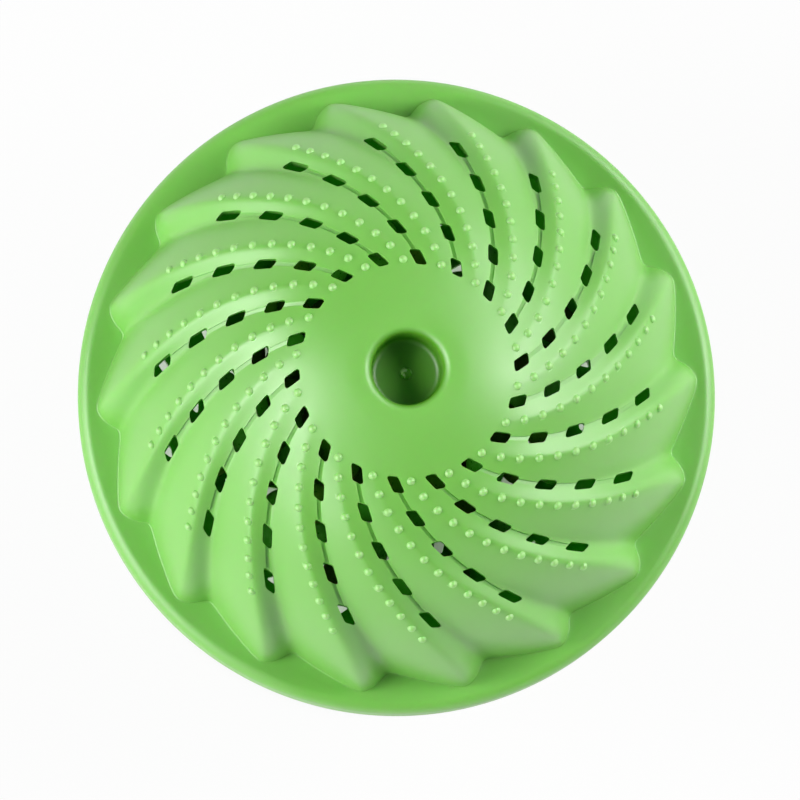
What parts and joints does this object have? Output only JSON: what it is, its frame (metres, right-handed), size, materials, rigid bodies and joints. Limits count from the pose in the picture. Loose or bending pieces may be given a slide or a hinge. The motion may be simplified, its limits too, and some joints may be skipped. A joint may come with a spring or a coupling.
{
  "type": "laundry ball",
  "caption": "Hollow green plastic laundry ball: two swirl-ridged, slotted half shells snapped together at a thick rim, with loose ceramic beads inside and a magnet behind each pole recess.",
  "frame": {"origin": "centre of the flat at the lower pole, which the ball stands on", "axes": "+Z along the axis from the lower pole to the upper pole; +X is to the right and +Y is up in the picture, which looks down the axis"},
  "size_m": [0.1048, 0.105, 0.092],
  "materials": {
    "shell_plastic": "satin moulded, light green",
    "magnet_ferrite": "sintered, dark grey",
    "cap_plastic": "satin moulded, natural white",
    "bead_white": "matte fired, off-white",
    "bead_grey": "matte fired, grey",
    "bead_tan": "matte fired, tan",
    "bead_brown": "matte fired, red-brown"
  },
  "bodies": {
    "lower_half": {"lower_shell": "shell_plastic", "lower_magnet": "magnet_ferrite", "lower_magnet_cap": "cap_plastic"},
    "upper_half": {"upper_shell": "shell_plastic", "upper_magnet": "magnet_ferrite", "upper_magnet_cap": "cap_plastic"},
    "bead_charge": {"bead_white_01": "bead_white", "bead_grey_01": "bead_grey", "bead_tan_01": "bead_tan", "bead_brown_01": "bead_brown", "bead_white_02": "bead_white", "bead_grey_02": "bead_grey", "bead_tan_02": "bead_tan", "bead_brown_02": "bead_brown", "bead_white_03": "bead_white", "bead_grey_03": "bead_grey", "bead_tan_03": "bead_tan", "bead_brown_03": "bead_brown", "bead_white_04": "bead_white", "bead_grey_04": "bead_grey", "bead_tan_04": "bead_tan", "bead_brown_04": "bead_brown", "bead_white_05": "bead_white", "bead_grey_05": "bead_grey", "bead_tan_05": "bead_tan", "bead_brown_05": "bead_brown", "bead_white_06": "bead_white", "bead_grey_06": "bead_grey", "bead_tan_06": "bead_tan", "bead_brown_06": "bead_brown", "bead_white_07": "bead_white", "bead_grey_07": "bead_grey", "bead_tan_07": "bead_tan", "bead_brown_07": "bead_brown", "bead_white_08": "bead_white", "bead_grey_08": "bead_grey", "bead_tan_08": "bead_tan", "bead_brown_08": "bead_brown", "bead_white_09": "bead_white", "bead_grey_09": "bead_grey", "bead_tan_09": "bead_tan", "bead_brown_09": "bead_brown", "bead_white_10": "bead_white", "bead_grey_10": "bead_grey", "bead_tan_10": "bead_tan", "bead_brown_10": "bead_brown", "bead_white_11": "bead_white", "bead_grey_11": "bead_grey", "bead_tan_11": "bead_tan", "bead_brown_11": "bead_brown"}
  },
  "joints": [
    {"name": "halves_open", "type": "slide", "parent": "lower_half", "child": "upper_half", "axis": [0, 0, 1], "range_m": [0, 0.06]},
    {"name": "beads_shift", "type": "slide", "parent": "lower_half", "child": "bead_charge", "axis": [0, 0, 1], "range_m": [0, 0.04]}
  ]
}
